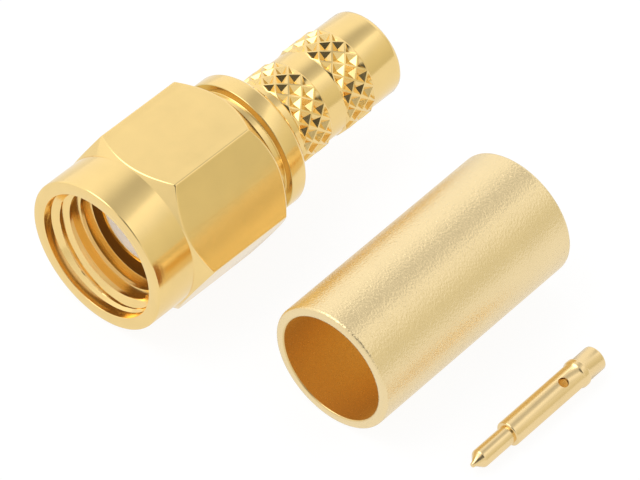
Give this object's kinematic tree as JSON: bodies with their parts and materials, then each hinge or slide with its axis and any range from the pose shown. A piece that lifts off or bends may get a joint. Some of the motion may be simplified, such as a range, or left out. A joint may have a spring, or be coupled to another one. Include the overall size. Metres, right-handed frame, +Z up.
{
  "type": "sma connector",
  "caption": "Gold-plated SMA crimp plug: hex coupling nut turning on a body with a knurled crimp tail, with its loose tubular crimp ferrule and its solder centre contact beside it.",
  "frame": {"origin": "on the surface that the pieces lie on, at the middle of their joint outline", "axes": "+X along the plug from its mating end to its crimp tail, +Z up, the loose pieces towards -Y"},
  "size_m": [0.0182, 0.0241, 0.008],
  "materials": {
    "plated_nut": "bright gold plate",
    "plated_body": "bright gold plate",
    "spring_ring": "bare spring bronze",
    "white_insulator": "waxy white",
    "satin_ferrule": "satin gold plate",
    "plated_contact": "bright gold plate"
  },
  "bodies": {
    "body": {"connector_body": "plated_body", "insulator": "white_insulator", "retaining_ring": "spring_ring", "crimp_ferrule": "satin_ferrule", "centre_contact": "plated_contact"},
    "nut": {"coupling_nut": "plated_nut"}
  },
  "joints": [
    {"name": "nut_spin", "type": "hinge", "parent": "body", "child": "nut", "pos_m": [-0.00487, 0.00747, 0.004], "axis": [1, 0, 0], "continuous": true}
  ]
}
